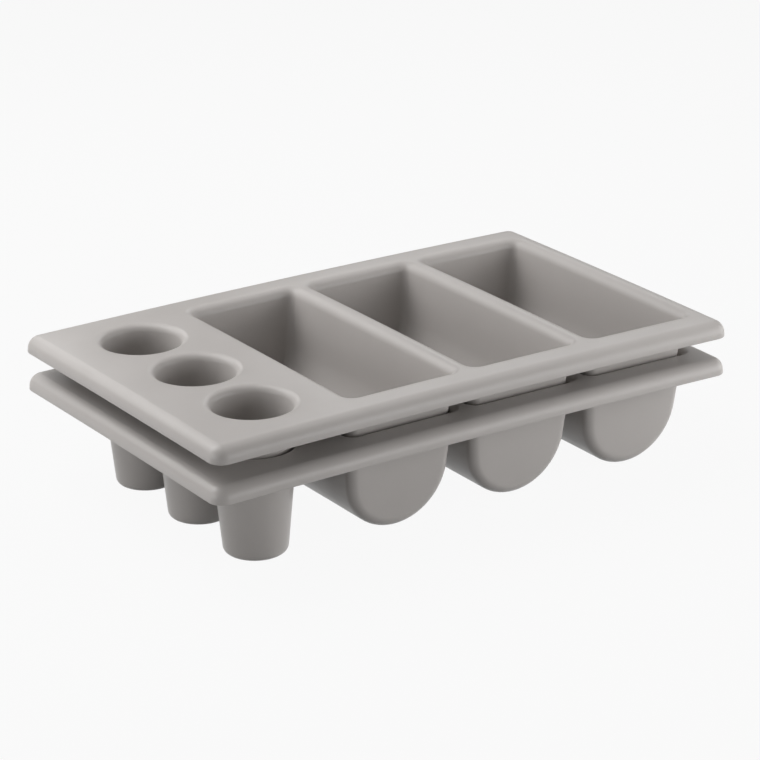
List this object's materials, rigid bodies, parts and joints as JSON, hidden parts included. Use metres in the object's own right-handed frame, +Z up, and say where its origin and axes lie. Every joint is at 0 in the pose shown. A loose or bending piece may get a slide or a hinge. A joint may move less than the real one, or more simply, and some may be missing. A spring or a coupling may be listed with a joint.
{
  "type": "cutlery dispenser",
  "caption": "Nested cutlery trays of catering pan size, each moulded with round cups at one end and long round-bottomed wells.",
  "frame": {"origin": "on the table, under the middle of the lower tray's outline", "axes": "+X along the long side, away from the cups; +Y across the tray; +Z up"},
  "size_m": [0.5298, 0.3248, 0.1328],
  "materials": {
    "grey_plastic": "satin moulded plastic, warm grey"
  },
  "bodies": {
    "lower_tray": {"lower_tray": "grey_plastic"},
    "upper_tray": {"upper_tray": "grey_plastic"}
  },
  "joints": [
    {"name": "upper_tray_lift", "type": "slide", "parent": "lower_tray", "child": "upper_tray", "axis": [0, 0, 1], "range_m": [0, 0.11]}
  ]
}
